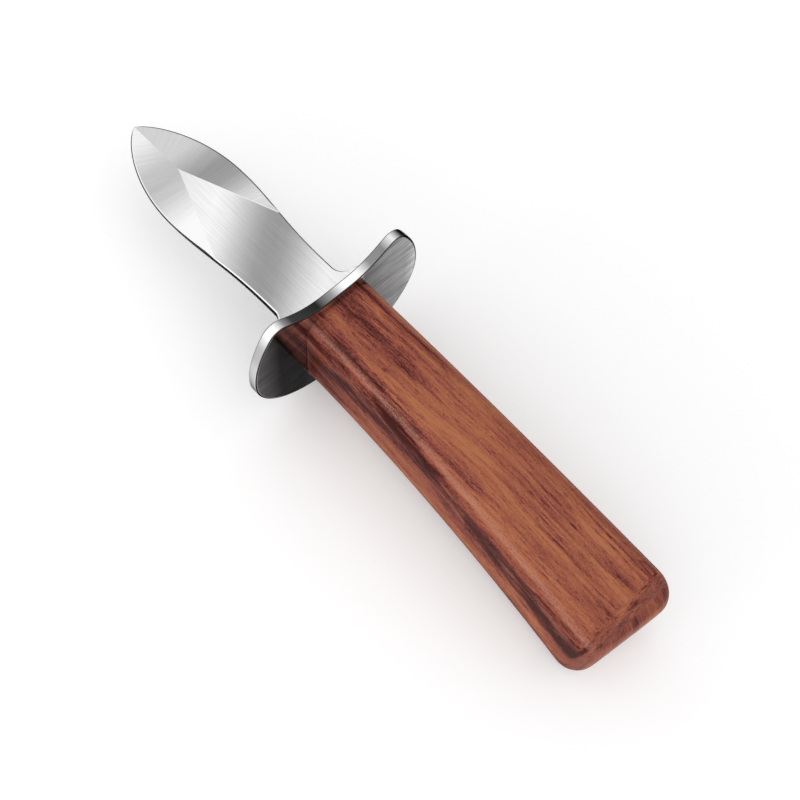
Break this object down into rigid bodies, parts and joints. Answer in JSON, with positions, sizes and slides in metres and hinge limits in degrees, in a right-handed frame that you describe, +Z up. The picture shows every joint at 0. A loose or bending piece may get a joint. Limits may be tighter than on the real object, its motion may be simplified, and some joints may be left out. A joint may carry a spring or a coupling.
{
  "type": "oyster knife",
  "caption": "Short leaf-shaped steel blade with ground bevels, a flat two-lobed hand guard and a rounded hardwood handle that drops towards its butt.",
  "frame": {"origin": "middle of the bounding box's base: the knife lies on a flat surface, on the guard's lower rim and the underside of the handle's butt", "axes": "+X towards the blade's tip, +Z up from the surface, XZ is the middle plane, and +Y is the left side, on which the handle is a little shorter"},
  "size_m": [0.1562, 0.0454, 0.0356],
  "materials": {
    "blade_steel": "brushed lengthwise on the flat, ground crosswise on the bevels",
    "guard_steel": "brushed faces with a polished rim",
    "wood": "satin oiled reddish-brown hardwood",
    "adhesive": "cured resin"
  },
  "bodies": {
    "root": {"blade": "blade_steel", "guard": "guard_steel", "handle": "wood", "adhesive": "adhesive"}
  },
  "joints": []
}
